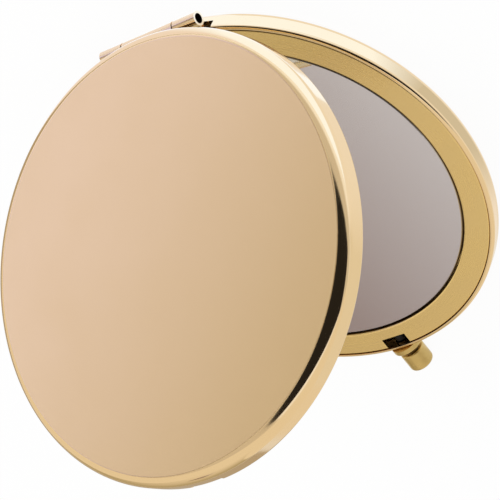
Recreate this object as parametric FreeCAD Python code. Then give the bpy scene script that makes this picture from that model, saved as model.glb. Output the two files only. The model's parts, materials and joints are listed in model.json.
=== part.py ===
import FreeCAD, Part
import math
import os

# Round folding compact mirror with a hinge at the back and a push button at the front.
# The base lies on its outer face: origin at the centre of that face, +Z up.
# The hinge is at +Y and its pin runs along X, the button is at -Y.
# The lid is modelled like the base, turned over and opened to its resting angle.

Vector = FreeCAD.Vector

# Case halves
case_radius = 35.0
shell_wall = 0.7
shell_floor = 0.6
shoulder_radius = 1.7
rim_round = 0.6
closing_gap = 0.2
rest_opening_deg = 50.5

# Mirror frame, a stamped tray that carries the mirror
frame_sheet = 0.4
frame_adhesive = 0.3
frame_adhesive_inset = 1.2
frame_side_gap = 0.1
frame_drop = 0.1
frame_edge_round = 0.25

# Mirror and its pad
mirror_thickness = 2.0
mirror_gap = 0.2
mirror_bevel = 0.3
mirror_drop = 0.3
mirror_pad = 0.6
mirror_pad_inset = 0.9
magnifier_radius = 1000.0

# Hinge
hinge_reach = 0.6
leaf_sheet = 0.6
leaf_depth = 4.4
leaf_end_inset = 1.0
lid_knuckle_length = 10.4
base_knuckle_length = 4.5
knuckle_gap = 0.2
hinge_clearance = 0.35
hinge_notch_end = 0.55
hinge_notch_room = 0.65
pin_radius = 0.75
pin_recess = 2.2
running_clearance = 0.05

# Rivets
rivet_radius = 0.45
rivet_head_radius = 0.75
rivet_head_height = 0.2
lid_rivet_spacing = 4.0

# Button, its stem and its spring
stem_radius = 0.8
stop_step = 0.3
stop_gap = 0.15
press_stroke = 0.7
tenon_radius = 0.55
stem_grip = 0.9
spring_wire = 0.25
spring_turns = 4
spring_stem_room = 0.325
spring_knob_room = 0.2
knob_wall = 0.625
knob_gap = 0.8
knob_length = 3.65
knob_bore_depth = 2.2
knob_end_round = 0.7
knob_back_round = 0.25
knob_lift = 0.05

# Bushing in the front wall
bushing_wall = 0.5
bushing_lip = 0.25
collar_margin = 0.55
collar_thickness = 0.95
collar_round = 0.3
collar_clearance = 0.6

# Latch plate and catch hook
latch_plate_sheet = 0.65
latch_back_room = 0.2
latch_below_axis = 0.65
nose_length = 0.65
nose_height = 0.55
nose_drop = 0.5
catch_sheet = 0.5
catch_overlap = 0.3
catch_slack = 0.15
catch_room = 0.25
catch_front_room = 0.8
prong_width = 0.75
prong_side_room = 0.25
barb_height = 0.7
slot_side_room = 0.2
catch_foot_side = 2.3
catch_foot_depth = 1.4

# Length that cutting shapes run past what they cut
overrun = 1.0

# Heights in a case half, from its outer face
tray_bottom = shell_floor + frame_adhesive
pad_bottom = tray_bottom + frame_sheet
mirror_bottom = pad_bottom + mirror_pad
mirror_top = mirror_bottom + mirror_thickness
ring_face = mirror_top + mirror_drop
ring_underside = ring_face - frame_sheet
half_height = ring_face + frame_drop
closed_height = half_height + closing_gap + half_height

# Distances from the case's axis towards the button, outside in
wall_inside = case_radius - shell_wall
ring_outer = wall_inside - frame_side_gap
prong_outside = ring_outer - catch_front_room
prong_inside = prong_outside - catch_sheet
nose_tip = prong_inside - catch_room
barb_tip = nose_tip - catch_overlap
slot_inside = barb_tip - catch_room
latch_front = nose_tip - nose_length
latch_back = latch_front - latch_plate_sheet
tray_outer = latch_back - press_stroke - latch_back_room
recess_radius = tray_outer - frame_sheet
mirror_radius = recess_radius - mirror_gap

# Distances from the case's axis towards the button, along the button
bushing_inside = wall_inside - bushing_lip
stop_face = bushing_inside - stop_gap
collar_face = case_radius + collar_thickness
knob_back = collar_face + knob_gap
knob_front = knob_back + knob_length
knob_bore_end = knob_back + knob_bore_depth
stem_front = knob_bore_end + stem_grip

# Radii and height of the button's axis
spring_radius = stem_radius + spring_stem_room + spring_wire / 2
knob_bore = spring_radius + spring_wire / 2 + spring_knob_room
knob_radius = knob_bore + knob_wall
stop_radius = stem_radius + stop_step
stem_bore = stem_radius + running_clearance
bushing_radius = stem_bore + bushing_wall
collar_radius = knob_radius + collar_margin
button_height = knob_radius + knob_lift

# Latch heights and widths
nose_top = ring_underside - nose_drop
nose_bottom = nose_top - nose_height
barb_top = nose_bottom - catch_slack
barb_bottom = barb_top - barb_height
prong_near = stop_radius + prong_side_room
prong_far = prong_near + prong_width
slot_half_width = prong_far + slot_side_room

# Hinge places
hinge_height = half_height + closing_gap / 2
hinge_distance = case_radius + hinge_reach
barrel_radius = hinge_height - ring_underside + leaf_sheet
leaf_bottom = hinge_height - barrel_radius
leaf_inside = hinge_distance - leaf_depth
leaf_edge = hinge_distance - barrel_radius - hinge_clearance
base_knuckle_start = lid_knuckle_length / 2 + knuckle_gap
base_leaf_end = base_knuckle_start + base_knuckle_length - leaf_end_inset
base_rivet_side = (base_knuckle_start + base_leaf_end) / 2
rivet_ring_edge = math.sqrt(ring_outer ** 2 - base_rivet_side ** 2)
leaf_rivet_line = (leaf_inside + rivet_ring_edge) / 2
hinge_half_length = base_knuckle_start + base_knuckle_length
notch_half_width = hinge_half_length + hinge_notch_end
notch_bottom = leaf_bottom - hinge_notch_room


def box(x_low, x_high, y_low, y_high, z_low, z_high):
    """Box between two values on each axis."""
    return Part.makeBox(x_high - x_low, y_high - y_low, z_high - z_low, Vector(x_low, y_low, z_low))


def line(start, end):
    """Straight edge in the section plane, from points given as (radius, height)."""
    return Part.makeLine(Vector(start[0], 0, start[1]), Vector(end[0], 0, end[1]))


def round_edge(start, corner, end):
    """Quarter arc that rounds the corner between two points of a section."""
    centre = (start[0] + end[0] - corner[0], start[1] + end[1] - corner[1])
    share = math.sqrt(0.5)
    middle_radius = centre[0] + (start[0] - centre[0] + end[0] - centre[0]) * share
    middle_height = centre[1] + (start[1] - centre[1] + end[1] - centre[1]) * share
    middle = Vector(middle_radius, 0, middle_height)
    return Part.Arc(Vector(start[0], 0, start[1]), middle, Vector(end[0], 0, end[1])).toShape()


def turned(edges):
    """Solid of revolution about Z from the edges of a closed section."""
    section = Part.Face(Part.Wire(edges))
    solid = section.revolve(Vector(0, 0, 0), Vector(0, 0, 1), 360)
    return solid


def outline(points):
    """Straight edges through points, back to the first."""
    return [line(a, b) for a, b in zip(points, points[1:] + points[:1])]


def disc(radius, bottom, top):
    """Plain disc about the case's axis."""
    return Part.makeCylinder(radius, top - bottom, Vector(0, 0, bottom))


def bar_along_x(radius, x_low, x_high, y, z):
    """Round bar along X."""
    return Part.makeCylinder(radius, x_high - x_low, Vector(x_low, y, z), Vector(1, 0, 0))


def bar_to_front(radius, near, far):
    """Round bar on the button's axis, between two distances from the case's axis."""
    return Part.makeCylinder(radius, far - near, Vector(0, -near, button_height), Vector(0, -1, 0))


def on_button_axis(shape):
    """Takes a piece turned about Z to the button's axis, with height becoming distance to the front."""
    shape.rotate(Vector(0, 0, 0), Vector(1, 0, 0), 90)
    shape.translate(Vector(0, 0, button_height))
    return shape


def as_lid(shape):
    """Turns a piece made like the base over, closes it on the base and opens it to its resting angle."""
    shape.rotate(Vector(0, 0, 0), Vector(0, 1, 0), 180)
    shape.translate(Vector(0, 0, closed_height))
    shape.rotate(Vector(0, hinge_distance, hinge_height), Vector(-1, 0, 0), rest_opening_deg)
    return shape


def shell_outside():
    """Full body inside the outer surface of a case half."""
    flat_radius = case_radius - shoulder_radius
    rim_start = half_height - rim_round
    rim_radius = case_radius - rim_round
    return turned([
        line((0, 0), (flat_radius, 0)),
        round_edge((flat_radius, 0), (case_radius, 0), (case_radius, shoulder_radius)),
        line((case_radius, shoulder_radius), (case_radius, rim_start)),
        round_edge((case_radius, rim_start), (case_radius, half_height), (rim_radius, half_height)),
        line((rim_radius, half_height), (0, half_height)),
        line((0, half_height), (0, 0)),
    ])


def shell_inside():
    """Hollow of a case half, open at the rim."""
    inner_shoulder = shoulder_radius - shell_wall
    flat_radius = wall_inside - inner_shoulder
    wall_start = shell_floor + inner_shoulder
    mouth = half_height + overrun
    return turned([
        line((0, shell_floor), (flat_radius, shell_floor)),
        round_edge((flat_radius, shell_floor), (wall_inside, shell_floor), (wall_inside, wall_start)),
        line((wall_inside, wall_start), (wall_inside, mouth)),
        line((wall_inside, mouth), (0, mouth)),
        line((0, mouth), (0, shell_floor)),
    ])


def rim_notch(middle_deg, half_width, bottom):
    """Cutting shape for a notch in the rim, with ends that point at the case's axis."""
    half_deg = math.degrees(math.asin(half_width / case_radius))
    low, high = bottom, half_height + overrun
    section = Part.Face(Part.Wire(outline([
        (recess_radius, low),
        (collar_face, low),
        (collar_face, high),
        (recess_radius, high),
    ])))
    section.rotate(Vector(0, 0, 0), Vector(0, 0, 1), middle_deg - half_deg)
    return section.revolve(Vector(0, 0, 0), Vector(0, 0, 1), 2 * half_deg)


def case_shell():
    """Stamped case half with the hinge notch in its rim."""
    return shell_outside().cut(shell_inside()).cut(rim_notch(90, notch_half_width, notch_bottom))


def base_shell():
    """Case half with the hole for the button's bushing."""
    return case_shell().cut(bar_to_front(bushing_radius, recess_radius, collar_face))


def lid_shell():
    """Case half with a notch in the rim that clears the bushing's collar."""
    depth = button_height + collar_radius + collar_clearance - half_height - closing_gap
    return case_shell().cut(rim_notch(-90, collar_radius + hinge_clearance, half_height - depth))


def frame_adhesive_disc():
    """Double-sided disc between shell and frame."""
    return disc(tray_outer - frame_adhesive_inset, shell_floor, tray_bottom)


def mirror_frame(rivet_places):
    """Stamped tray: mirror recess, flat ring, catch slot and straight edge at the hinge."""
    inner_edge = recess_radius + frame_edge_round
    outer_edge = ring_outer - frame_edge_round
    edge_start = ring_face - frame_edge_round
    tray = turned([
        line((0, tray_bottom), (tray_outer, tray_bottom)),
        line((tray_outer, tray_bottom), (tray_outer, ring_underside)),
        line((tray_outer, ring_underside), (ring_outer, ring_underside)),
        line((ring_outer, ring_underside), (ring_outer, edge_start)),
        round_edge((ring_outer, edge_start), (ring_outer, ring_face), (outer_edge, ring_face)),
        line((outer_edge, ring_face), (inner_edge, ring_face)),
        round_edge((inner_edge, ring_face), (recess_radius, ring_face), (recess_radius, edge_start)),
        line((recess_radius, edge_start), (recess_radius, pad_bottom)),
        line((recess_radius, pad_bottom), (0, pad_bottom)),
        line((0, pad_bottom), (0, tray_bottom)),
    ])
    low, high = ring_underside - overrun, ring_face + overrun
    slot = box(-slot_half_width, slot_half_width, -case_radius, -slot_inside, low, high)
    hinge_edge = box(-notch_half_width, notch_half_width, leaf_edge, case_radius, low, high)
    frame = tray.cut(slot).cut(hinge_edge)
    for x, y in rivet_places:
        frame = frame.cut(Part.makeCylinder(rivet_radius, frame_sheet, Vector(x, y, ring_underside)))
    return frame


def mirror_pad_disc():
    """Foam pad behind the mirror."""
    return disc(mirror_radius - mirror_pad_inset, pad_bottom, mirror_bottom)


def plain_mirror():
    """Flat mirror with a bevelled edge."""
    return turned(outline([
        (0, mirror_bottom),
        (mirror_radius, mirror_bottom),
        (mirror_radius, mirror_top - mirror_bevel),
        (mirror_radius - mirror_bevel, mirror_top),
        (0, mirror_top),
    ]))


def magnifying_mirror():
    """Mirror with a slightly hollow face, ground to one large sphere."""
    face_radius = mirror_radius - mirror_bevel
    rise = math.sqrt(magnifier_radius ** 2 - face_radius ** 2)
    half_rise = math.sqrt(magnifier_radius ** 2 - (face_radius / 2) ** 2)
    centre_height = mirror_top - magnifier_radius + rise
    middle_height = mirror_top - half_rise + rise
    face = Part.Arc(
        Vector(face_radius, 0, mirror_top),
        Vector(face_radius / 2, 0, middle_height),
        Vector(0, 0, centre_height),
    )
    return turned([
        line((0, mirror_bottom), (mirror_radius, mirror_bottom)),
        line((mirror_radius, mirror_bottom), (mirror_radius, mirror_top - mirror_bevel)),
        line((mirror_radius, mirror_top - mirror_bevel), (face_radius, mirror_top)),
        face.toShape(),
        line((0, centre_height), (0, mirror_bottom)),
    ])


def base_leaf_rivet_places():
    """Rivets behind the middle of each outer knuckle, midway between the leaf's and the ring's edges."""
    return [(-base_rivet_side, leaf_rivet_line), (base_rivet_side, leaf_rivet_line)]


def lid_leaf_rivet_places():
    """Rivets behind the middle knuckle."""
    x = lid_rivet_spacing / 2
    return [(-x, leaf_rivet_line), (x, leaf_rivet_line)]


def catch_rivet_places():
    """Rivets through the catch's foot, one on each side of the slot."""
    x = slot_half_width + catch_foot_side / 2
    y = catch_foot_depth / 2 - prong_outside
    return [(-x, y), (x, y)]


def rivets(places, sheet_bottom):
    """Rivets that clamp a sheet to the ring's underside, with low round heads on both ends."""
    solids = []
    for x, y in places:
        shank = Part.makeCylinder(rivet_radius, ring_face - sheet_bottom, Vector(x, y, sheet_bottom))
        for face, way in ((ring_face, 1), (sheet_bottom, -1)):
            head_radius = (rivet_head_radius ** 2 + rivet_head_height ** 2) / (2 * rivet_head_height)
            centre = face + way * (rivet_head_height - head_radius)
            ball = Part.makeSphere(head_radius, Vector(x, y, centre))
            low, high = sorted((face, face + way * rivet_head_height))
            blank = Part.makeCylinder(rivet_head_radius, high - low, Vector(x, y, low))
            shank = shank.fuse(blank.common(ball))
        solids.append(shank.removeSplitter())
    return Part.makeCompound(solids)


def rivet_holes(leaf, places, sheet_bottom, sheet):
    """Cuts the rivets' holes into a sheet."""
    for x, y in places:
        leaf = leaf.cut(Part.makeCylinder(rivet_radius, sheet, Vector(x, y, sheet_bottom)))
    return leaf


def leaf_strip(x_low, x_high, y_high):
    """Flat strip of a hinge leaf under the ring."""
    return box(x_low, x_high, leaf_inside, y_high, leaf_bottom, leaf_bottom + leaf_sheet)


def knuckle(x_low, x_high, strip, bore):
    """Rolled knuckle with the flat strip that runs from it into the case."""
    barrel = bar_along_x(barrel_radius, x_low, x_high, hinge_distance, hinge_height)
    hole = bar_along_x(bore, x_low - overrun, x_high + overrun, hinge_distance, hinge_height)
    return barrel.fuse(strip).cut(hole)


def base_hinge_leaf():
    """Two outer knuckles joined by a strip under the base's ring, which ends short of the barrel's ends."""
    right_strip = leaf_strip(base_knuckle_start, base_leaf_end, hinge_distance)
    left_strip = leaf_strip(-base_leaf_end, -base_knuckle_start, hinge_distance)
    right = knuckle(base_knuckle_start, hinge_half_length, right_strip, pin_radius)
    left = knuckle(-hinge_half_length, -base_knuckle_start, left_strip, pin_radius)
    leaf = right.fuse([left, leaf_strip(-base_leaf_end, base_leaf_end, leaf_edge)]).removeSplitter()
    return rivet_holes(leaf, base_leaf_rivet_places(), leaf_bottom, leaf_sheet)


def lid_hinge_leaf():
    """Middle knuckle, which turns on the pin."""
    half_length = lid_knuckle_length / 2
    strip = leaf_strip(-half_length, half_length, hinge_distance)
    leaf = knuckle(-half_length, half_length, strip, pin_radius + running_clearance).removeSplitter()
    return rivet_holes(leaf, lid_leaf_rivet_places(), leaf_bottom, leaf_sheet)


def hinge_pin():
    """Wire pin, shorter than the barrel so that the knuckles stay open at their ends."""
    half_length = hinge_half_length - pin_recess
    return bar_along_x(pin_radius, -half_length, half_length, hinge_distance, hinge_height)


def button_bushing():
    """Round collar that sits on the wall, flat below, with a sleeve through the wall."""
    rounded = collar_radius - collar_round
    round_start = collar_face - collar_round
    collar = on_button_axis(turned([
        line((0, wall_inside), (collar_radius, wall_inside)),
        line((collar_radius, wall_inside), (collar_radius, round_start)),
        round_edge((collar_radius, round_start), (collar_radius, collar_face), (rounded, collar_face)),
        line((rounded, collar_face), (0, collar_face)),
        line((0, collar_face), (0, wall_inside)),
    ]))
    above_shoulder = disc(case_radius, shoulder_radius, closed_height)
    below_case = box(-case_radius, case_radius, -knob_front, 0, -collar_radius, knob_lift)
    collar = collar.cut(shell_outside()).cut(above_shoulder).cut(below_case)
    sleeve = bar_to_front(bushing_radius, bushing_inside, collar_face)
    bore = bar_to_front(stem_bore, recess_radius, knob_front)
    return collar.fuse(sleeve).cut(bore).removeSplitter()


def button_stem():
    """Turned stem: tenon for the latch plate, stop shoulder and the long end that carries the knob."""
    return on_button_axis(turned(outline([
        (0, latch_back),
        (tenon_radius, latch_back),
        (tenon_radius, latch_front),
        (stop_radius, latch_front),
        (stop_radius, stop_face),
        (stem_radius, stop_face),
        (stem_radius, stem_front),
        (0, stem_front),
    ])))


def button_head():
    """Hollow knob with a rounded end, pressed onto the stem."""
    front_edge = knob_radius - knob_end_round
    front_start = knob_front - knob_end_round
    back_edge = knob_radius - knob_back_round
    back_end = knob_back + knob_back_round
    return on_button_axis(turned([
        line((stem_radius, knob_bore_end), (knob_bore, knob_bore_end)),
        line((knob_bore, knob_bore_end), (knob_bore, knob_back)),
        line((knob_bore, knob_back), (back_edge, knob_back)),
        round_edge((back_edge, knob_back), (knob_radius, knob_back), (knob_radius, back_end)),
        line((knob_radius, back_end), (knob_radius, front_start)),
        round_edge((knob_radius, front_start), (knob_radius, knob_front), (front_edge, knob_front)),
        line((front_edge, knob_front), (0, knob_front)),
        line((0, knob_front), (0, stem_front)),
        line((0, stem_front), (stem_radius, stem_front)),
        line((stem_radius, stem_front), (stem_radius, knob_bore_end)),
    ]))


def tangent_arc(start, direction, end):
    """Arc from start, leaving along a direction, to end."""
    chord = end - start
    side = chord - direction * chord.dot(direction)
    side.normalize()
    radius = chord.dot(chord) / (2 * chord.dot(side))
    centre = start + side * radius
    outward = (start - centre) + (end - centre)
    outward.normalize()
    return Part.Arc(start, centre + outward * radius, end)


def spring_places(steps_per_turn):
    """Points and directions along the spring's wire, equal steps of its turns apart."""
    start = collar_face + spring_wire / 2
    climb = knob_bore_end - spring_wire / 2 - start
    steps = spring_turns * steps_per_turn
    places = []
    for step in range(steps + 1):
        angle = 2 * math.pi * step / steps_per_turn
        around = (math.cos(angle), math.sin(angle))
        y = -start - climb * step / steps
        point = Vector(spring_radius * around[0], y, button_height + spring_radius * around[1])
        rise = climb / (2 * math.pi * spring_turns)
        direction = Vector(-spring_radius * around[1], -rise, spring_radius * around[0])
        direction.normalize()
        places.append((point, direction))
    return places


def button_spring():
    """Coil spring round the stem: one tube along pairs of tangent arcs, four pairs to a turn."""
    edges = []
    places = spring_places(4)
    for (start, leaving), (end, arriving) in zip(places, places[1:]):
        chord = end - start
        both = leaving + arriving
        bend = 2 * (1 - leaving.dot(arriving))
        reach = (math.sqrt(chord.dot(both) ** 2 + bend * chord.dot(chord)) - chord.dot(both)) / bend
        joint = (start + leaving * reach + end - arriving * reach) / 2
        to_joint = (end - arriving * reach) - (start + leaving * reach)
        to_joint.normalize()
        edges.append(tangent_arc(start, leaving, joint).toShape())
        edges.append(tangent_arc(joint, to_joint, end).toShape())
    first, way = places[0]
    section = Part.Wire(Part.makeCircle(spring_wire / 2, first, way))
    return Part.Wire(edges).makePipeShell([section], True, False)


def spring_gap():
    """Least gap between neighbouring turns, measured on points of the wire."""
    steps_per_turn = 24
    points = [point for point, _ in spring_places(steps_per_turn)]
    far = steps_per_turn // 2
    distances = [
        (points[a] - points[b]).Length
        for a in range(len(points))
        for b in range(a + far, len(points))
    ]
    return min(distances) - spring_wire


def latch_plate():
    """Plate on the stem's inner end, with a nose on each side that holds a prong of the catch."""
    bottom = button_height - latch_below_axis
    plate = box(-prong_far, prong_far, -latch_front, -latch_back, bottom, nose_top)
    for low, high in ((-prong_far, -prong_near), (prong_near, prong_far)):
        plate = plate.fuse(box(low, high, -nose_tip, -latch_front, nose_bottom, nose_top))
    return plate.removeSplitter().cut(bar_to_front(tenon_radius, latch_back, latch_front))


def lid_catch_hook():
    """Forked catch, made in the lid as if it were the base: foot under the ring and two barbed prongs."""
    foot_bottom = ring_underside - catch_sheet
    foot_half_width = slot_half_width + catch_foot_side
    foot_inside = prong_outside - catch_foot_depth
    hook = box(-foot_half_width, foot_half_width, -prong_outside, -foot_inside, foot_bottom, ring_underside)
    barb_low = closed_height - barb_top
    prong_end = closed_height - barb_bottom
    for low in (-prong_far, prong_near):
        corners = [
            Vector(low, -prong_outside, foot_bottom),
            Vector(low, -prong_inside, foot_bottom),
            Vector(low, -prong_inside, barb_low),
            Vector(low, -barb_tip, barb_low),
            Vector(low, -prong_inside, prong_end),
            Vector(low, -prong_outside, prong_end),
        ]
        side = Part.Face(Part.makePolygon(corners + corners[:1]))
        hook = hook.fuse(side.extrude(Vector(prong_width, 0, 0)))
    hook = hook.removeSplitter()
    return rivet_holes(hook, catch_rivet_places(), foot_bottom, catch_sheet)


def build():
    """Every piece of the compact by its name, in its place."""
    lid_rivet_places = lid_leaf_rivet_places() + catch_rivet_places()
    return {
        "base_shell": base_shell(),
        "base_frame_adhesive": frame_adhesive_disc(),
        "base_mirror_frame": mirror_frame(base_leaf_rivet_places()),
        "base_mirror_pad": mirror_pad_disc(),
        "base_mirror_glass": plain_mirror(),
        "base_hinge_leaf": base_hinge_leaf(),
        "base_hinge_rivets": rivets(base_leaf_rivet_places(), leaf_bottom),
        "hinge_pin": hinge_pin(),
        "button_bushing": button_bushing(),
        "lid_shell": as_lid(lid_shell()),
        "lid_frame_adhesive": as_lid(frame_adhesive_disc()),
        "lid_mirror_frame": as_lid(mirror_frame(lid_rivet_places)),
        "lid_mirror_pad": as_lid(mirror_pad_disc()),
        "lid_mirror_glass": as_lid(magnifying_mirror()),
        "lid_hinge_leaf": as_lid(lid_hinge_leaf()),
        "lid_hinge_rivets": as_lid(rivets(lid_leaf_rivet_places(), leaf_bottom)),
        "lid_catch_hook": as_lid(lid_catch_hook()),
        "lid_catch_rivets": as_lid(rivets(catch_rivet_places(), ring_underside - catch_sheet)),
        "button_head": button_head(),
        "button_spring": button_spring(),
        "button_stem": button_stem(),
        "latch_plate": latch_plate(),
    }


os.makedirs("parts", exist_ok=True)
print("least gap between the spring's turns", round(spring_gap(), 3))
for name, shape in build().items():
    shape.exportStep(os.path.join("parts", name + ".step"))
    print(name, len(shape.Solids), "solids", round(shape.Volume, 2), "mm3", "valid", shape.isValid())
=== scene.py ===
import json
import math

import bmesh
import bpy
from mathutils import Matrix, Vector


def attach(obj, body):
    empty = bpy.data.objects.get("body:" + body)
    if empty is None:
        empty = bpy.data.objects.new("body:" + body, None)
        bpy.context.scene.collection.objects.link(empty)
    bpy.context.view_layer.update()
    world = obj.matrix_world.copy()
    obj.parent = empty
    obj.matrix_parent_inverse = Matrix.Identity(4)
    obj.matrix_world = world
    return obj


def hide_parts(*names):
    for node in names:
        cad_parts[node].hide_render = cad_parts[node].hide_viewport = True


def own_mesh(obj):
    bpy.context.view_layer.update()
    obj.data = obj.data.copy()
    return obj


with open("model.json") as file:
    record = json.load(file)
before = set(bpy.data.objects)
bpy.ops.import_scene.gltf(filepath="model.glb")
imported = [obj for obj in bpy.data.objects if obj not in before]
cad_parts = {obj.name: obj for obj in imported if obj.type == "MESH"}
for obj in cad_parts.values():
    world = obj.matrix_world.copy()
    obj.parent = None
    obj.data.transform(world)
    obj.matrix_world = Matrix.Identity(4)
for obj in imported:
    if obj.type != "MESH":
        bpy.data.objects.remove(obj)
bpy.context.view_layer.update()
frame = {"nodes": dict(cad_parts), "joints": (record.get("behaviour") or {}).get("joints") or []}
nodes = frame["nodes"]
joints = {joint["name"]: joint for joint in frame["joints"]}

# Camera, fitted to the photograph's ellipses: places in metres, lens and sensor in millimetres
CAMERA_PLACE = (0.240247, 0.172832, 0.297712)
CAMERA_AIM = (0.001553, 0.002897, 0.02)
CAMERA_ROLL_DEG = -155.622
CAMERA_LENS = 186.3
CAMERA_SENSOR = 36.0
CAMERA_CLIP = 0.01

# Hinge, as the frame's joints give it in metres and degrees
HINGE_PLACE = Vector(joints["lid_hinge"]["pos_m"])
HINGE_AXIS = Vector(joints["lid_hinge"]["axis"])
REST_OPENING_DEG = -joints["lid_hinge"]["range_deg"][0]

# Case halves, in millimetres as in the part's source
MM = 0.001
CASE_RADIUS = 35.0
SHELL_WALL = 0.7
SHELL_FLOOR = 0.6
SHOULDER = 1.7
RIM_ROUND = 0.6
CLOSING_GAP = 0.2
HINGE_SIDE_DEG = 90.0
HINGE_NOTCH_HALF = 10.45
HINGE_NOTCH_BOTTOM = 2.55
FRONT_SIDE_DEG = -90.0
FRONT_NOTCH_HALF = 3.1
FRONT_NOTCH_BOTTOM = 3.2

# Mirror frames, in millimetres
FRAME_SHEET = 0.4
FRAME_ADHESIVE = 0.3
FRAME_SIDE_GAP = 0.1
FRAME_DROP = 0.1
RING_ROUND = 0.25
SLOT_HALF = 2.3
SLOT_INSIDE = 32.1
LEAF_EDGE = 34.05
RIVET_HOLE = 0.5
BASE_RIVETS = ((-7.15, 32.32), (7.15, 32.32))
LID_RIVETS = ((-2.0, 32.32), (2.0, 32.32), (-3.45, -32.7), (3.45, -32.7))

# Mirrors and their pads, in millimetres
MIRROR_PAD = 0.6
MIRROR_THICKNESS = 2.0
MIRROR_DROP = 0.3
MIRROR_GAP = 0.2
MIRROR_BEVEL = 0.3
MIRROR_RADIUS = 29.85
MAGNIFIER_RADIUS = 1000.0

# Button and its bushing, in millimetres
BUTTON_HEIGHT = 2.25
BUSHING_RADIUS = 1.35

# Heights in a case half and distances from its axis that follow, in millimetres
FRAME_BOTTOM = SHELL_FLOOR + FRAME_ADHESIVE
RECESS_FLOOR = FRAME_BOTTOM + FRAME_SHEET
MIRROR_BOTTOM = RECESS_FLOOR + MIRROR_PAD
MIRROR_TOP = MIRROR_BOTTOM + MIRROR_THICKNESS
RING_FACE = MIRROR_TOP + MIRROR_DROP
RING_UNDERSIDE = RING_FACE - FRAME_SHEET
HALF_HEIGHT = RING_FACE + FRAME_DROP
CLOSED_HEIGHT = HALF_HEIGHT + CLOSING_GAP + HALF_HEIGHT
WALL_INSIDE = CASE_RADIUS - SHELL_WALL
RING_RADIUS = WALL_INSIDE - FRAME_SIDE_GAP
RECESS_RADIUS = MIRROR_RADIUS + MIRROR_GAP
TRAY_RADIUS = RECESS_RADIUS + FRAME_SHEET

# Fineness of the turned pieces: steps of a turn and of each curve, and edge loops in millimetres
TURN_STEPS = 360
SHOULDER_STEPS = 28
RIM_STEPS = 14
INNER_STEPS = 8
RING_STEPS = 10
HOLLOW_STEPS = 40
FACE_LOOPS = (8.0, 16.0, 24.0, 30.0)
INSIDE_LOOPS = (30.0, 20.0, 10.0)
MIDDLE_LOOPS = (10.0, 20.0)
SHOULDER_LOOP = 1.0
EDGE_LOOP = 0.06
SHARP_DEG = 25.0

# Cutters: lengths in millimetres, and sides of the round ones
CUT_PAST = 1.0
BUSHING_CUT = 5.0
BUSHING_SIDES = 72
RIVET_SIDES = 24

# Where a finish or a painted shade changes, in millimetres from the middle of the case or the hinge's
# axis
FACE_RADIUS = 33.2
EDGE_RADIUS = 33.5
GROOVE_START = 33.9
GROOVE_END = 34.1
GROOVE_FULL_Y = 25.0
MIRROR_EDGE_START = 29.5
MIRROR_EDGE_END = 29.7
BORE_RADIUS = 0.82
BORE_BLEND = 0.05

# How a finish or a painted shade changes there
FACE_METAL = 0.5
FACE_ROUGHNESS = 0.04
GROOVE_SHADE_AT_FRONT = 0.1
MIRROR_METAL = 0.82
GROUND_ROUGHNESS = 0.35
BORE_ROUGHNESS = 0.4

# Fine lines: scale of the hairlines and stretch of the grain on each axis
HAIRLINE_SCALES = (900.0, 14000.0, 900.0)
HINGE_STRETCH = (1.0, 1.0, 0.1)
TURNING_STRETCH = (0.02, 1.0, 0.02)

# Two tones of each finish, and two dark colours, linear: one of painted shade, and one of the mirrors'
# ground edge that is also painted shade along the gap round them
CASE_TONES = ((0.94, 0.74, 0.48, 1.0), (0.92, 0.70, 0.43, 1.0))
FACE_TONES = ((0.86, 0.64, 0.36, 1.0), (0.83, 0.61, 0.33, 1.0))
FRAME_TONES = ((0.94, 0.73, 0.36, 1.0), (0.91, 0.68, 0.30, 1.0))
HINGE_TONES = ((0.94, 0.765, 0.54, 1.0), (0.91, 0.72, 0.48, 1.0))
BRASS_TONES = ((0.93, 0.70, 0.36, 1.0), (0.88, 0.63, 0.29, 1.0))
KNOB_TONES = ((0.72, 0.54, 0.235, 1.0), (0.57, 0.41, 0.16, 1.0))
BRONZE_TONES = ((0.42, 0.28, 0.13, 1.0), (0.30, 0.19, 0.08, 1.0))
STEEL_TONES = ((0.62, 0.60, 0.57, 1.0), (0.50, 0.48, 0.46, 1.0))
BLACK_TONES = ((0.035, 0.035, 0.04, 1.0), (0.02, 0.02, 0.023, 1.0))
SILVER_TONES = ((0.90, 0.885, 0.88, 1.0), (0.87, 0.855, 0.85, 1.0))
FOAM_TONES = ((0.10, 0.10, 0.11, 1.0), (0.06, 0.06, 0.065, 1.0))
TAPE_TONES = ((0.75, 0.70, 0.58, 1.0), (0.60, 0.55, 0.45, 1.0))
PAINTED_SHADE_DARK = (0.035, 0.022, 0.012, 1.0)
GROUND_EDGE_AND_SHADE = (0.10, 0.065, 0.04, 1.0)

# World, floor and lamp, with lengths in metres
WHITE = (1.0, 1.0, 1.0, 1.0)
WORLD_SEEN = 0.95
WORLD_LIGHT = 0.8
FLOOR_HALF = 3.0
FLOOR_STEPS = 8
FLOOR_DROP = 0.00002
FLOOR_COLOUR = (0.95, 0.945, 0.935, 1.0)
FLOOR_LIFT_SEEN = 0.94
FLOOR_LIFT_REFLECTED = 0.25
KEY_PLACE = (-0.15, 0.6, 0.7)
KEY_AIM = (0.0, 0.08, 0.0)
KEY_SIZE = 0.5
KEY_WATTS = 2.2

# Directions
TO_SIDE = (1.0, 0.0, 0.0)
TO_BACK = (0.0, 1.0, 0.0)
TO_TOP = (0.0, 0.0, 1.0)
ACROSS_MIRROR = (0.7434, 0.1595, 0.6496)
ACROSS_LID = (-0.5763, -0.1548, -0.8024)

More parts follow.
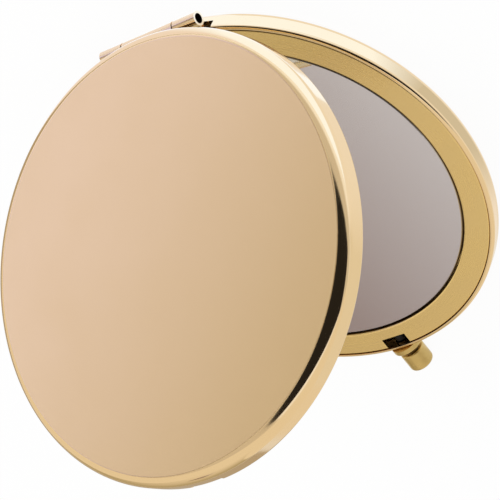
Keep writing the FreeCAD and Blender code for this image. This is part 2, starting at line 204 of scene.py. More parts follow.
# Brightness of the cards, which are in the studio for the reflections alone
CURTAIN = (0.02, 0.018, 0.016, 1.0)
CREAM = (1.08, 1.26, 1.56, 1.0)
PALE = (0.94, 0.91, 0.98, 1.0)
WHITE_CARD = (1.0, 1.03, 1.06, 1.0)
STRIP = (0.85, 0.85, 0.82, 1.0)
SKIRT = (0.66, 0.62, 0.54, 1.0)
TAN = (0.68, 0.68, 0.63, 1.0)
PEACH = (0.81, 0.77, 0.66, 1.0)
WARM = (0.93, 0.92, 0.90, 1.0)
SAND = (0.83, 0.76, 0.62, 1.0)
UMBER = (0.66, 0.60, 0.50, 1.0)
DIM = (0.48, 0.41, 0.31, 1.0)
OLIVE = (0.48, 0.42, 0.28, 1.0)
CEILING_LOW = (0.265, 0.179, 0.149, 1.0)
CEILING_HIGH = (0.545, 0.487, 0.463, 1.0)
PANEL_LOW = (0.27, 0.19, 0.06, 1.0)
PANEL_HIGH = (0.80, 0.76, 1.20, 1.0)

# Grades from one brightness to another along a direction, between two distances in metres
CEILING_GRADE = (CEILING_LOW, CEILING_HIGH, ACROSS_MIRROR, -0.0731, 0.0445)
PANEL_GRADE = (PANEL_LOW, PANEL_HIGH, ACROSS_LID, -0.117, 0.0715)
LOW_WALL_GRADE = (OLIVE, SAND, TO_TOP, 0.42, 1.2)
MID_SHEET_GRADE = (PALE, CREAM, TO_SIDE, 0.0, 0.014)
WALL_SHEET_GRADE = (PEACH, WARM, TO_BACK, -0.05, 0.0)
BACK_ARC_GRADE = (TAN, CREAM, TO_BACK, 0.0085, 0.0185)
SIDE_ARC_GRADE = (WARM, TAN, TO_BACK, -0.018, -0.006)

# Cards on a dome: azimuths and elevations in degrees, radius in metres
DOME_RADIUS = 1.3
SCREEN_RADIUS = 1.38
WALL_RADIUS = 1.4
CARD_STEPS = 24
CURTAIN_CORNERS = (
    (116.0, 23.0), (125.0, 32.0), (124.0, 50.0), (122.0, 71.0), (-4.0, 66.5),
    (-25.0, 23.5), (5.0, 15.7), (42.0, 21.0), (77.0, 22.5), (100.0, 21.0),
)
EVEN_DOME_CARDS = (
    ("strip", (-27.0, 117.0), (0.1, 4.0), DOME_RADIUS, STRIP),
    ("skirt", (-27.0, 117.0), (4.0, 23.0), WALL_RADIUS, SKIRT),
    ("panel_foot", (117.0, 139.0), (0.1, 7.0), DOME_RADIUS, PALE),
    ("upper_screen", (118.0, 139.0), (27.0, 89.9), SCREEN_RADIUS, UMBER),
    ("wall", (139.0, 333.0), (0.1, 89.9), WALL_RADIUS, SAND),
)
GRADED_DOME_CARDS = (
    ("ceiling", (211.0, 224.0), (41.0, 49.3), DOME_RADIUS, CEILING_GRADE),
    ("panel", (117.0, 139.0), (7.0, 27.0), DOME_RADIUS, PANEL_GRADE),
    ("low_wall", (186.0, 250.0), (0.1, 60.0), SCREEN_RADIUS, LOW_WALL_GRADE),
)

# Cards flat on the floor: ranges of X and Y in metres
EVEN_FLOOR_CARDS = (
    ("far_sheet", (-0.04, 0.9), (0.12, 1.1), WHITE_CARD),
    ("east_sheet", (0.15, 0.9), (0.033, 0.12), WHITE_CARD),
    ("side_sheet", (-0.7, -0.041), (-0.7, 0.2), DIM),
    ("front_sheet", (-0.04, 1.0), (-1.3, -0.06), PEACH),
)
GRADED_FLOOR_CARDS = (
    ("mid_sheet", (-0.04, 0.15), (0.033, 0.12), MID_SHEET_GRADE),
    ("wall_sheet", (0.0, 0.6), (-0.06, 0.033), WALL_SHEET_GRADE),
)

# Cards round the foot of the base: azimuths in degrees, lengths in metres
ARC_RADII = (0.0358, 0.0392)
ARC_LIFT = 0.00002
ARC_STEPS = 48
ARC_CARDS = (
    ("back_arc", (14.0, 170.0), BACK_ARC_GRADE),
    ("side_arc", (-90.0, 14.0), SIDE_ARC_GRADE),
)


# Objects and places


def lid_matrix():
    """Takes a piece made like the base to the lid's place at rest, in metres."""
    over = Matrix.Translation((0.0, 0.0, CLOSED_HEIGHT * MM)) @ Matrix.Rotation(math.pi, 4, "Y")
    swing = Matrix.Rotation(math.radians(REST_OPENING_DEG), 4, HINGE_AXIS)
    return Matrix.Translation(HINGE_PLACE) @ swing @ Matrix.Translation(-HINGE_PLACE) @ over


def half_matrix(body):
    """Place of a case half's own frame."""
    return lid_matrix() if body == "lid" else Matrix.Identity(4)


def link_object(name, data):
    """New object in the scene."""
    thing = bpy.data.objects.new(name, data)
    bpy.context.scene.collection.objects.link(thing)
    return thing


def mesh_object(name, shape):
    """New object from a bmesh."""
    bmesh.ops.recalc_face_normals(shape, faces=shape.faces[:])
    mesh = bpy.data.meshes.new(name)
    shape.to_mesh(mesh)
    shape.free()
    return link_object(name, mesh)


def paint(mesh, material):
    """Gives a mesh one material."""
    mesh.materials.clear()
    mesh.materials.append(material)


def even_steps(ends, steps):
    """Values from one end of a range to the other, both included."""
    start, end = ends
    return [start + (end - start) * i / steps for i in range(steps + 1)]


def rectangle(x_range, y_range):
    """Corners of a rectangle, in order."""
    (x_low, x_high), (y_low, y_high) = x_range, y_range
    return [(x_low, y_low), (x_high, y_low), (x_high, y_high), (x_low, y_high)]


# Nodes of the materials


def add_node(tree, kind, inputs=None, **settings):
    """Node with its settings and unlinked inputs."""
    node = tree.nodes.new(kind)
    for name, value in settings.items():
        setattr(node, name, value)
    for name, value in (inputs or {}).items():
        node.inputs[name].default_value = value
    return node


def empty_tree(owner):
    """Node tree of a material or world with nothing in it."""
    owner.use_nodes = True
    owner.node_tree.nodes.clear()
    return owner.node_tree


def noise(tree, where, scale, detail):
    """Noise texture in the object's own metres."""
    node = add_node(tree, "ShaderNodeTexNoise", {"Scale": scale, "Detail": detail})
    tree.links.new(where, node.inputs["Vector"])
    return node.outputs["Fac"]


def ring_noise(tree, distance, scale, detail):
    """Noise texture that changes with the distance from an axis alone."""
    inputs = {"Scale": scale, "Detail": detail}
    node = add_node(tree, "ShaderNodeTexNoise", inputs, noise_dimensions="1D")
    tree.links.new(distance, node.inputs["W"])
    return node.outputs["Fac"]


def spread(tree, value, low, high, from_low=0.3, from_high=0.7):
    """Maps a texture's range to a range of values."""
    inputs = {"From Min": from_low, "From Max": from_high, "To Min": low, "To Max": high}
    node = add_node(tree, "ShaderNodeMapRange", inputs)
    tree.links.new(value, node.inputs["Value"])
    return node.outputs["Result"]


def share_between(tree, distance, start, end):
    """Share that goes from 0 at one distance to 1 at another, both in millimetres."""
    return spread(tree, distance, 0.0, 1.0, start * MM, end * MM)


def by_share(tree, share, none, full):
    """Number that goes from one value to another as a share goes from 0 to 1."""
    return spread(tree, share, none, full, 0.0, 1.0)


def math_node(tree, operation, first, second):
    """Sum, product or other operation of a texture with a texture or number."""
    node = add_node(tree, "ShaderNodeMath", operation=operation)
    tree.links.new(first, node.inputs[0])
    if isinstance(second, float):
        node.inputs[1].default_value = second
    else:
        tree.links.new(second, node.inputs[1])
    return node.outputs["Value"]


def two_tone(tree, factor, first, second):
    """Mixes two colours, each one colour or a texture's, by a factor."""
    node = add_node(tree, "ShaderNodeMix", data_type="RGBA")
    sockets = [socket for socket in node.inputs if socket.type == "RGBA"]
    for socket, colour in zip(sockets, (first, second)):
        if isinstance(colour, tuple):
            socket.default_value = colour
        else:
            tree.links.new(colour, socket)
    tree.links.new(factor, node.inputs["Factor"])
    return [socket for socket in node.outputs if socket.type == "RGBA"][0]


def stretched(tree, where, scale):
    """Place scaled on each axis."""
    node = add_node(tree, "ShaderNodeVectorMath", operation="MULTIPLY")
    node.inputs[1].default_value = scale
    tree.links.new(where, node.inputs[0])
    return node.outputs["Vector"]


def off_axis(tree, where):
    """Distance of a place from the Z axis."""
    node = add_node(tree, "ShaderNodeVectorMath", operation="LENGTH")
    tree.links.new(stretched(tree, where, (1.0, 1.0, 0.0)), node.inputs[0])
    return node.outputs["Value"]


def along(tree, where, direction):
    """Distance of a place along a direction."""
    node = add_node(tree, "ShaderNodeVectorMath", operation="DOT_PRODUCT")
    node.inputs[1].default_value = direction
    tree.links.new(where, node.inputs[0])
    return node.outputs["Value"]


def bump_from(tree, height, distance):
    """Normal from a height texture, with its full height in metres."""
    node = add_node(tree, "ShaderNodeBump", {"Strength": 1.0, "Distance": distance})
    tree.links.new(height, node.inputs["Height"])
    return node.outputs["Normal"]


def start_material(name, matrix):
    """New material, its node tree, and the place on its object in the frame that a matrix puts there."""
    material = bpy.data.materials.new(name)
    tree = empty_tree(material)
    where = add_node(tree, "ShaderNodeTexCoord").outputs["Object"]
    back = matrix.inverted()
    inputs = {"Location": back.to_translation(), "Rotation": back.to_euler()}
    turn = add_node(tree, "ShaderNodeMapping", inputs)
    tree.links.new(where, turn.inputs["Vector"])
    return material, tree, turn.outputs["Vector"]


def finish_material(tree, colour, roughness, normal, metallic):
    """Shader and output of a material, with one metal share or a texture of it."""
    shader = add_node(tree, "ShaderNodeBsdfPrincipled")
    if isinstance(metallic, float):
        shader.inputs["Metallic"].default_value = metallic
    else:
        tree.links.new(metallic, shader.inputs["Metallic"])
    tree.links.new(colour, shader.inputs["Base Color"])
    tree.links.new(roughness, shader.inputs["Roughness"])
    tree.links.new(normal, shader.inputs["Normal"])
    output = add_node(tree, "ShaderNodeOutputMaterial")
    tree.links.new(shader.outputs["BSDF"], output.inputs["Surface"])


# Materials of the object


def polished_case(name, matrix):
    """Plated case half: satin lacquered face in a mirror-polished edge, with smudges and hairlines."""
    material, tree, where = start_material(name, matrix)
    smudge = noise(tree, where, scale=70.0, detail=5.0)
    hairs = noise(tree, stretched(tree, where, HAIRLINE_SCALES), scale=1.0, detail=2.0)
    edge = share_between(tree, off_axis(tree, where), FACE_RADIUS, EDGE_RADIUS)
    face = two_tone(tree, smudge, *FACE_TONES)
    colour = two_tone(tree, edge, face, two_tone(tree, smudge, *CASE_TONES))
    smudge_wear = spread(tree, smudge, low=0.05, high=0.11)
    wear = math_node(tree, "ADD", smudge_wear, spread(tree, hairs, low=0.0, high=0.01))
    rough = math_node(tree, "ADD", wear, by_share(tree, edge, none=FACE_ROUGHNESS, full=0.0))
    metal = by_share(tree, edge, none=FACE_METAL, full=1.0)
    finish_material(tree, colour, rough, bump_from(tree, hairs, distance=2e-8), metal)
    return material


def satin_frame(name, matrix):
    """Plated tray: satin, with fine lines round its axis and painted shade along its edge in the groove
    by the case, faint at the front and full towards the hinge.
    """
    material, tree, where = start_material(name, matrix)
    distance = off_axis(tree, where)
    smudge = noise(tree, where, scale=140.0, detail=4.0)
    lines = ring_noise(tree, distance, scale=9000.0, detail=2.0)
    # Painted shade in the groove, faint at the front and full towards the hinge
    to_hinge = share_between(tree, along(tree, where, TO_BACK), 0.0, GROOVE_FULL_Y)
    depth = by_share(tree, to_hinge, none=GROOVE_SHADE_AT_FRONT, full=1.0)
    groove = share_between(tree, distance, GROOVE_START, GROOVE_END)
    groove = math_node(tree, "MULTIPLY", groove, depth)
    colour = two_tone(tree, groove, two_tone(tree, smudge, *FRAME_TONES), PAINTED_SHADE_DARK)
    satin = spread(tree, smudge, low=0.2, high=0.26)
    rough = math_node(tree, "ADD", satin, spread(tree, lines, low=0.0, high=0.05))
    finish_material(tree, colour, rough, bump_from(tree, lines, distance=6e-8), metallic=1.0)
    return material


def silvered_glass(name, matrix):
    """Mirror with a light haze, bright to its bevel, with a dark ground edge that is also painted shade
    along the gap round it.
    """
    material, tree, where = start_material(name, matrix)
    smudge = noise(tree, where, scale=45.0, detail=5.0)
    # Dark ground edge of the glass, also painted shade for the dark line along the gap round the mirror
    edge = share_between(tree, off_axis(tree, where), MIRROR_EDGE_START, MIRROR_EDGE_END)
    colour = two_tone(tree, edge, two_tone(tree, smudge, *SILVER_TONES), GROUND_EDGE_AND_SHADE)
    haze = spread(tree, smudge, low=0.0, high=0.03)
    rough = math_node(tree, "ADD", haze, by_share(tree, edge, none=0.0, full=GROUND_ROUGHNESS))
    grain = math_node(tree, "MULTIPLY", noise(tree, where, scale=9000.0, detail=1.0), edge)
    finish_material(tree, colour, rough, bump_from(tree, grain, distance=2e-6), MIRROR_METAL)
    return material


def hinge_brass(name):
    """Plated hinge: satin outside, dull in the bore and painted dark there as painted shade."""
    axis = Matrix.Translation(HINGE_PLACE) @ Matrix.Rotation(math.pi / 2, 4, "Y")
    material, tree, where = start_material(name, axis)
    smudge = noise(tree, where, scale=500.0, detail=4.0)
    grain = noise(tree, stretched(tree, where, HINGE_STRETCH), scale=12000.0, detail=2.0)
    # Painted shade inside the bore
    bore = share_between(tree, off_axis(tree, where), BORE_RADIUS + BORE_BLEND, BORE_RADIUS)
    colour = two_tone(tree, bore, two_tone(tree, smudge, *HINGE_TONES), PAINTED_SHADE_DARK)
    satin = spread(tree, smudge, low=0.14, high=0.22)
    rough = math_node(tree, "ADD", satin, by_share(tree, bore, none=0.0, full=BORE_ROUGHNESS))
    finish_material(tree, colour, rough, bump_from(tree, grain, distance=5e-7), metallic=1.0)
    return material


def turned_metal(name, tones, roughness):
    """Metal with fine turning lines across the button's axis, with painted shade on what lies inside the
    case.
    """
    material, tree, where = start_material(name, Matrix.Identity(4))
    smudge = noise(tree, where, scale=450.0, detail=4.0)
    lines = noise(tree, stretched(tree, where, TURNING_STRETCH), scale=16000.0, detail=2.0)
    # Painted shade inside the case's wall
    inside = share_between(tree, off_axis(tree, where), CASE_RADIUS, WALL_INSIDE)
    colour = two_tone(tree, inside, two_tone(tree, smudge, *tones), PAINTED_SHADE_DARK)
    satin = spread(tree, smudge, *roughness)
    rough = math_node(tree, "ADD", satin, spread(tree, lines, low=0.0, high=0.06))
    finish_material(tree, colour, rough, bump_from(tree, lines, distance=8e-7), metallic=1.0)
    return material


def grainy_stuff(name, tones, roughness, scale, height, metallic):
    """Grainy metal, foam or tape."""
    material, tree, where = start_material(name, Matrix.Identity(4))
    grain = noise(tree, where, scale, detail=3.0)
    colour = two_tone(tree, grain, *tones)
    rough = spread(tree, grain, *roughness)
    finish_material(tree, colour, rough, bump_from(tree, grain, height), metallic)
    return material


def grainy_metal(name, tones, roughness, scale, height):
    """Grainy stuff that is all metal."""
    return grainy_stuff(name, tones, roughness, scale, height, metallic=1.0)


def dull_stuff(name, tones, roughness, scale, height):
    """Grainy stuff with no metal in it."""
    return grainy_stuff(name, tones, roughness, scale, height, metallic=0.0)


def assign(material, *names):
    """Gives CAD nodes a material."""
    for name in names:
        paint(nodes[name].data, material)


def dress_nodes():
    """Materials of the CAD nodes, apart from those that turned pieces replace."""
    assign(silvered_glass("base_silvered_glass", half_matrix("base")), "base_mirror_glass")
    assign(hinge_brass("hinge_brass"), "base_hinge_leaf", "lid_hinge_leaf")
    satin = turned_metal("satin_brass", KNOB_TONES, roughness=(0.24, 0.34))
    assign(satin, "button_bushing", "button_head")
    wire = turned_metal("bronze_wire", BRONZE_TONES, roughness=(0.25, 0.4))
    assign(wire, "button_spring")
    brass = grainy_metal("stamped_brass", BRASS_TONES, roughness=(0.2, 0.3), scale=2500.0, height=4e-7)
    assign(brass, "base_hinge_rivets", "lid_hinge_rivets", "lid_catch_rivets", "lid_catch_hook")
    drawn = grainy_metal("drawn_steel", STEEL_TONES, roughness=(0.2, 0.32), scale=4000.0, height=4e-7)
    assign(drawn, "hinge_pin")
    # Blackened steel for the latch plate; the button's stem is made black as painted shade in the slot
    black = grainy_metal("blackened_steel_and_stem_shade", BLACK_TONES, roughness=(0.4, 0.6), scale=5000.0, height=2e-6)
    assign(black, "latch_plate", "button_stem")
    foam = dull_stuff("foam", FOAM_TONES, roughness=(0.8, 1.0), scale=4000.0, height=6e-5)
    assign(foam, "base_mirror_pad", "lid_mirror_pad")
    tape = dull_stuff("adhesive", TAPE_TONES, roughness=(0.4, 0.6), scale=1500.0, height=1e-5)
    assign(tape, "base_frame_adhesive", "lid_frame_adhesive")


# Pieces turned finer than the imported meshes, so that polish and glass reflect cleanly


def arc(centre, radius, degrees, steps):
    """Points of an arc in a section, from one angle to another."""
    angles = [math.radians(degree) for degree in even_steps(degrees, steps)]
    return [(centre[0] + radius * math.cos(a), centre[1] + radius * math.sin(a)) for a in angles]


def shell_section():
    """Section of a case half from the middle of its outer face round to the middle of its inner face."""
    inner_round = SHOULDER - SHELL_WALL
    inner_corner = (WALL_INSIDE - inner_round, SHELL_FLOOR + inner_round)
    flat = CASE_RADIUS - SHOULDER
    rim_radius, rim_height = CASE_RADIUS - RIM_ROUND, HALF_HEIGHT - RIM_ROUND
    points = [(r, 0.0) for r in (*FACE_LOOPS, flat - SHOULDER_LOOP, flat - EDGE_LOOP)]
    points += arc((flat, SHOULDER), SHOULDER, (-90.0, 0.0), SHOULDER_STEPS)
    points += [(CASE_RADIUS, SHOULDER + EDGE_LOOP), (CASE_RADIUS, rim_height - EDGE_LOOP)]
    points += arc((rim_radius, rim_height), RIM_ROUND, (0.0, 90.0), RIM_STEPS)
    points += [(rim_radius - EDGE_LOOP, HALF_HEIGHT), (WALL_INSIDE, HALF_HEIGHT)]
    points += [(WALL_INSIDE, HALF_HEIGHT - EDGE_LOOP), (WALL_INSIDE, inner_corner[1] + EDGE_LOOP)]
    points += arc(inner_corner, inner_round, (0.0, -90.0), INNER_STEPS)
    points += [(r, SHELL_FLOOR) for r in INSIDE_LOOPS]
    return points


def frame_section():
    """Section of a mirror frame from the middle of its underside round to the middle of its recess."""
    round_height = RING_FACE - RING_ROUND
    outer, inner = RING_RADIUS - RING_ROUND, RECESS_RADIUS + RING_ROUND
    points = [(r, FRAME_BOTTOM) for r in (*MIDDLE_LOOPS, TRAY_RADIUS)]
    points += [(TRAY_RADIUS, RING_UNDERSIDE), (RING_RADIUS, RING_UNDERSIDE)]
    points += arc((outer, round_height), RING_ROUND, (0.0, 90.0), RING_STEPS)
    points += [(outer - EDGE_LOOP, RING_FACE), (inner + EDGE_LOOP, RING_FACE)]
    points += arc((inner, round_height), RING_ROUND, (90.0, 180.0), RING_STEPS)
    points += [(r, RECESS_FLOOR) for r in (RECESS_RADIUS, *MIDDLE_LOOPS[::-1])]
    return points


def hollow_section():
    """Section of the magnifying mirror from the middle of its underside round to its hollow face."""
    rim = MIRROR_RADIUS - MIRROR_BEVEL
    centre = MIRROR_TOP + math.sqrt(MAGNIFIER_RADIUS ** 2 - rim ** 2)
    points = [(r, MIRROR_BOTTOM) for r in (*MIDDLE_LOOPS, MIRROR_RADIUS)]
    points.append((MIRROR_RADIUS, MIRROR_TOP - MIRROR_BEVEL))
    for radius in even_steps((rim, 0.0), HOLLOW_STEPS)[:-1]:
        points.append((radius, centre - math.sqrt(MAGNIFIER_RADIUS ** 2 - radius ** 2)))
    return points


def turned_solid(name, section):
    """Solid of revolution of a section, with its two middles closed."""
    shape = bmesh.new()
    columns = []
    for step in range(TURN_STEPS):
        angle = 2 * math.pi * step / TURN_STEPS
        way = Vector((math.cos(angle), math.sin(angle), 0.0))
        columns.append([shape.verts.new((way * r + Vector((0.0, 0.0, z))) * MM) for r, z in section])
    bottom = shape.verts.new((0.0, 0.0, section[0][1] * MM))
    top = shape.verts.new((0.0, 0.0, section[-1][1] * MM))
    for step, column in enumerate(columns):
        after = columns[(step + 1) % TURN_STEPS]
        shape.faces.new((bottom, after[0], column[0]))
        shape.faces.new((top, column[-1], after[-1]))
        for i in range(len(section) - 1):
            shape.faces.new((column[i], after[i], after[i + 1], column[i + 1]))
    return mesh_object(name, shape)


def prism_cutter(corners, low, high):
    """Upright prism on corners in the case's plane."""
    shape = bmesh.new()
    rows = [[shape.verts.new(Vector((x, y, z)) * MM) for x, y in corners] for z in (low, high)]
    shape.faces.new(rows[0][::-1])
    shape.faces.new(rows[1])
    for i in range(len(corners)):
        j = (i + 1) % len(corners)
        shape.faces.new((rows[0][i], rows[0][j], rows[1][j], rows[1][i]))
    return mesh_object("cutter", shape)


def notch_cutter(middle_deg, half_width, bottom):
    """Wedge through the case's wall, with ends that point at its axis."""
    half = math.asin(half_width / CASE_RADIUS)
    middle = math.radians(middle_deg)
    near = WALL_INSIDE - CUT_PAST
    far = (CASE_RADIUS + CUT_PAST) / math.cos(half)
    corners = []
    for radius, turn in ((near, -half), (far, -half), (far, half), (near, half)):
        corners.append((radius * math.cos(middle + turn), radius * math.sin(middle + turn)))
    return prism_cutter(corners, bottom, HALF_HEIGHT + CUT_PAST)


def ring_cutter(corners):
    """Prism through a mirror frame's ring."""
    return prism_cutter(corners, RING_UNDERSIDE - CUT_PAST, RING_FACE + CUT_PAST)


def box_cutter(half_width, y_low, y_high):
    """Box through a mirror frame's ring."""
    return ring_cutter(rectangle((-half_width, half_width), (y_low, y_high)))


def rivet_cutter(x, y):
    """Bar through a mirror frame's ring, hidden by a rivet's head."""
    turns = [2 * math.pi * i / RIVET_SIDES for i in range(RIVET_SIDES)]
    corners = [(x + RIVET_HOLE * math.cos(turn), y + RIVET_HOLE * math.sin(turn)) for turn in turns]
    return ring_cutter(corners)


def bushing_cutter():
    """Bar that cuts the bushing's hole in the front wall."""
    shape = bmesh.new()
    size = BUSHING_RADIUS * MM
    length = BUSHING_CUT * MM
    bmesh.ops.create_cone(
        shape, cap_ends=True, segments=BUSHING_SIDES, radius1=size, radius2=size, depth=length,
    )
    place = Vector((0.0, -CASE_RADIUS, BUTTON_HEIGHT)) * MM
    bmesh.ops.rotate(shape, verts=shape.verts[:], matrix=Matrix.Rotation(math.pi / 2, 3, "X"))
    bmesh.ops.translate(shape, verts=shape.verts[:], vec=place)
    return mesh_object("cutter", shape)


def cut(piece, cutters):
    """Cuts shapes out of a piece and removes them."""
    for cutter in cutters:
        step = piece.modifiers.new("cut", "BOOLEAN")
        step.operation = "DIFFERENCE"
        step.solver = "EXACT"
        step.object = cutter
    graph = bpy.context.evaluated_depsgraph_get()
    done = bpy.data.meshes.new_from_object(piece.evaluated_get(graph))
    piece.modifiers.clear()
    old = piece.data
    piece.data = done
    bpy.data.meshes.remove(old)
    done.name = piece.name
    for cutter in cutters:
        bpy.data.objects.remove(cutter)


def smooth_but_sharp(piece):
    """Smooth shading, with edges over an angle left sharp."""
    shape = bmesh.new()
    shape.from_mesh(piece.data)
    limit = math.radians(SHARP_DEG)
    for face in shape.faces:
        face.smooth = True
    for edge in shape.edges:
        edge.smooth = len(edge.link_faces) == 2 and edge.calc_face_angle() < limit
    shape.to_mesh(piece.data)
    shape.free()


def make_turned(name, node, section, cutters, body, material):
    """Fine turned piece in place of its CAD node."""
    piece = turned_solid(name, section)
    cut(piece, cutters)
    piece.data.transform(half_matrix(body))
    smooth_but_sharp(piece)
    paint(piece.data, material)
    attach(piece, body)
    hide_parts(node)


def make_case():
    """Both case halves."""
    hinge_notch = (HINGE_SIDE_DEG, HINGE_NOTCH_HALF, HINGE_NOTCH_BOTTOM)
    front_notch = (FRONT_SIDE_DEG, FRONT_NOTCH_HALF, FRONT_NOTCH_BOTTOM)
    cutters = {
        "base": [notch_cutter(*hinge_notch), bushing_cutter()],
        "lid": [notch_cutter(*hinge_notch), notch_cutter(*front_notch)],
    }
    for body, shapes in cutters.items():
        polish = polished_case(body + "_polish", half_matrix(body))
        make_turned(body + "_case", body + "_shell", shell_section(), shapes, body, polish)


def make_frames():
    """Both mirror frames."""
    for body, rivets in (("base", BASE_RIVETS), ("lid", LID_RIVETS)):
        shapes = [rivet_cutter(x, y) for x, y in rivets]
        shapes.append(box_cutter(SLOT_HALF, -CASE_RADIUS, -SLOT_INSIDE))
        shapes.append(box_cutter(HINGE_NOTCH_HALF, LEAF_EDGE, CASE_RADIUS))
        satin = satin_frame(body + "_satin", half_matrix(body))
        node = body + "_mirror_frame"
        make_turned(body + "_frame", node, frame_section(), shapes, body, satin)


def make_magnifier():
    """Hollow mirror in the lid."""
    glass = silvered_glass("lid_silvered_glass", half_matrix("lid"))
    make_turned("lid_mirror", "lid_mirror_glass", hollow_section(), [], "lid", glass)


def make_spring():
    """Coil spring, a copy of its CAD node's mesh on the base."""
    piece = link_object("coil_spring", nodes["button_spring"].data.copy())
    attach(piece, "base")
    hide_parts("button_spring")
    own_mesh(piece)


# World and floor


def seen_share(tree, direct, reflected):
    """One share for rays from the camera or through glass, one for rays off metal, and 0 for light."""
    path = add_node(tree, "ShaderNodeLightPath").outputs
    straight = math_node(tree, "MAXIMUM", path["Is Camera Ray"], path["Is Transmission Ray"])
    straight = math_node(tree, "MULTIPLY", straight, direct)
    turned = math_node(tree, "MULTIPLY", path["Is Glossy Ray"], reflected)
    return math_node(tree, "MAXIMUM", straight, turned)


def mixed_output(tree, factor, first, second, output_kind):
    """Output that mixes two shaders."""
    mix = add_node(tree, "ShaderNodeMixShader")
    tree.links.new(factor, mix.inputs["Fac"])
    tree.links.new(first, mix.inputs[1])
    tree.links.new(second, mix.inputs[2])
    output = add_node(tree, output_kind)
    tree.links.new(mix.outputs["Shader"], output.inputs["Surface"])


def background(tree, strength):
    """Even white background."""
    node = add_node(tree, "ShaderNodeBackground", {"Color": WHITE, "Strength": strength})
    return node.outputs["Background"]


def make_world():
    """White surroundings, a little dimmer as light than as seen."""
    world = bpy.data.worlds.new("studio")
    bpy.context.scene.world = world
    tree = empty_tree(world)
    share = seen_share(tree, direct=1.0, reflected=1.0)
    light, seen = background(tree, WORLD_LIGHT), background(tree, WORLD_SEEN)
    mixed_output(tree, share, light, seen, "ShaderNodeOutputWorld")


def make_floor():
    """Pale floor that keeps a soft shadow."""
    shape = bmesh.new()
    bmesh.ops.create_grid(shape, x_segments=FLOOR_STEPS, y_segments=FLOOR_STEPS, size=FLOOR_HALF)
    floor = mesh_object("floor", shape)
    floor.location.z = -FLOOR_DROP
    material = bpy.data.materials.new("floor_paper")
    tree = empty_tree(material)
    paper = add_node(tree, "ShaderNodeBsdfDiffuse", {"Color": FLOOR_COLOUR})
    lift = add_node(tree, "ShaderNodeEmission", {"Color": WHITE, "Strength": 1.0})
    share = seen_share(tree, FLOOR_LIFT_SEEN, FLOOR_LIFT_REFLECTED)
    shaders = paper.outputs["BSDF"], lift.outputs["Emission"]
    mixed_output(tree, share, *shaders, "ShaderNodeOutputMaterial")
    paint(floor.data, material)


# Studio cards


def way_to(azimuth_deg, elevation_deg):
    """Unit vector from the object towards an azimuth and elevation."""
    azimuth, elevation = math.radians(azimuth_deg), math.radians(elevation_deg)
    flat = math.cos(elevation)
    return Vector((flat * math.cos(azimuth), flat * math.sin(azimuth), math.sin(elevation)))


def make_card(name, shape, material):
    """Card of a bmesh's shape that is hidden from all but polished surfaces."""
    card = mesh_object(name, shape)
    paint(card.data, material)
    card.visible_camera = False
    card.visible_diffuse = False
    card.visible_shadow = False


def dome_card(name, azimuths, elevations, radius, material):
    """Card on a dome round the object."""
    shape = bmesh.new()
    rows = []
    for elevation in even_steps(elevations, CARD_STEPS):
        ways = [way_to(azimuth, elevation) for azimuth in even_steps(azimuths, CARD_STEPS)]
        rows.append([shape.verts.new(way * radius) for way in ways])
    for low, high in zip(rows, rows[1:]):
        for j in range(CARD_STEPS):
            shape.faces.new((low[j], low[j + 1], high[j + 1], high[j]))
    make_card(name, shape, material)


def dome_patch(name, corners, material):
    """Card between corners on the dome, given as azimuths and elevations."""
    shape = bmesh.new()
    ways = [way_to(azimuth, elevation) for azimuth, elevation in corners]
    middle = sum(ways, Vector()).normalized()
    centre = shape.verts.new(middle * DOME_RADIUS)
    ring = [shape.verts.new(way * DOME_RADIUS) for way in ways]
    for first, second in zip(ring, ring[1:] + ring[:1]):
        shape.faces.new((centre, first, second))
    make_card(name, shape, material)


def floor_patch(name, x_range, y_range, material):
    """Card flat on the floor."""
    shape = bmesh.new()
    shape.faces.new([shape.verts.new((x, y, 0.0)) for x, y in rectangle(x_range, y_range)])
    make_card(name, shape, material)


def floor_arc(name, azimuths, material):
    """Card round the foot of the base."""
    shape = bmesh.new()
    lift = Vector((0.0, 0.0, ARC_LIFT))
    pairs = []
    for azimuth in even_steps(azimuths, ARC_STEPS):
        way = way_to(azimuth, 0.0)
        pairs.append([shape.verts.new(way * radius + lift) for radius in ARC_RADII])
    for (first, second), (third, fourth) in zip(pairs, pairs[1:]):
        shape.faces.new((first, second, fourth, third))
    make_card(name, shape, material)


def glow_shader(tree):
    """Shader of a card, linked to its material's output."""
    shader = add_node(tree, "ShaderNodeEmission", {"Strength": 1.0})
    output = add_node(tree, "ShaderNodeOutputMaterial")
    tree.links.new(shader.outputs["Emission"], output.inputs["Surface"])
    return shader


def even_glow(name, colour):
    """Card material of one colour."""
    material = bpy.data.materials.new(name)
    shader = glow_shader(empty_tree(material))
    shader.inputs["Color"].default_value = colour
    return material


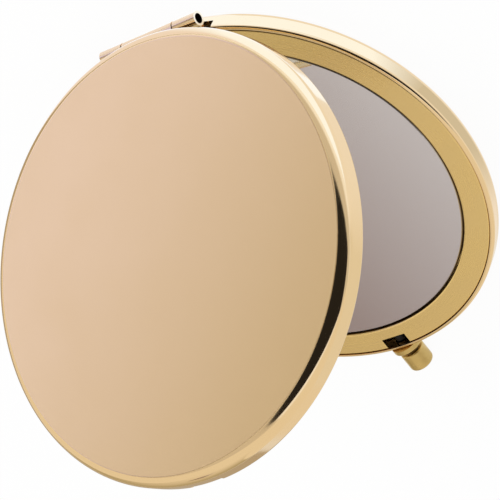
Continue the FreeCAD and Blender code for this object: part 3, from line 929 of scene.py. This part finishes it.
def graded_glow(name, low_colour, high_colour, direction, from_low, from_high):
    """Card material that goes from one colour to another along a direction, between two distances."""
    material = bpy.data.materials.new(name)
    tree = empty_tree(material)
    where = add_node(tree, "ShaderNodeTexCoord").outputs["Object"]
    share = spread(tree, along(tree, where, direction), 0.0, 1.0, from_low, from_high)
    colour = two_tone(tree, share, low_colour, high_colour)
    tree.links.new(colour, glow_shader(tree).inputs["Color"])
    return material


def make_cards():
    """Cards of one colour, and the graded ones that the lid, the base's mirror and the walls reflect."""
    dome_patch("curtain", CURTAIN_CORNERS, even_glow("curtain", CURTAIN))
    for name, *place, colour in EVEN_DOME_CARDS:
        dome_card(name, *place, even_glow(name, colour))
    for name, *place, grade in GRADED_DOME_CARDS:
        dome_card(name, *place, graded_glow(name, *grade))
    for name, *place, colour in EVEN_FLOOR_CARDS:
        floor_patch(name, *place, even_glow(name, colour))
    for name, *place, grade in GRADED_FLOOR_CARDS:
        floor_patch(name, *place, graded_glow(name, *grade))
    for name, azimuths, grade in ARC_CARDS:
        floor_arc(name, azimuths, graded_glow(name, *grade))


# Lamp and camera


def aim(thing, place, target, roll_deg=0.0):
    """Puts a lamp or camera at a place, facing a target and rolled about its own axis."""
    facing = (Vector(place) - Vector(target)).to_track_quat("Z", "Y").to_matrix().to_4x4()
    roll = Matrix.Rotation(math.radians(roll_deg), 4, "Z")
    thing.matrix_world = Matrix.Translation(place) @ facing @ roll


def make_lamp():
    """One large soft lamp above the object, kept out of the reflections."""
    data = bpy.data.lights.new("key", "AREA")
    data.shape = "SQUARE"
    data.size = KEY_SIZE
    data.energy = KEY_WATTS
    lamp = link_object("key", data)
    aim(lamp, KEY_PLACE, KEY_AIM)
    lamp.visible_glossy = False


def make_camera():
    """Camera at the photograph's place."""
    data = bpy.data.cameras.new("camera")
    data.sensor_width = CAMERA_SENSOR
    data.lens = CAMERA_LENS
    data.clip_start = CAMERA_CLIP
    camera = link_object("camera", data)
    aim(camera, CAMERA_PLACE, CAMERA_AIM, CAMERA_ROLL_DEG)
    bpy.context.scene.camera = camera


bpy.context.scene.view_settings.view_transform = "Standard"
make_case()
make_frames()
make_magnifier()
dress_nodes()
make_spring()
make_world()
make_floor()
make_cards()
make_lamp()
make_camera()
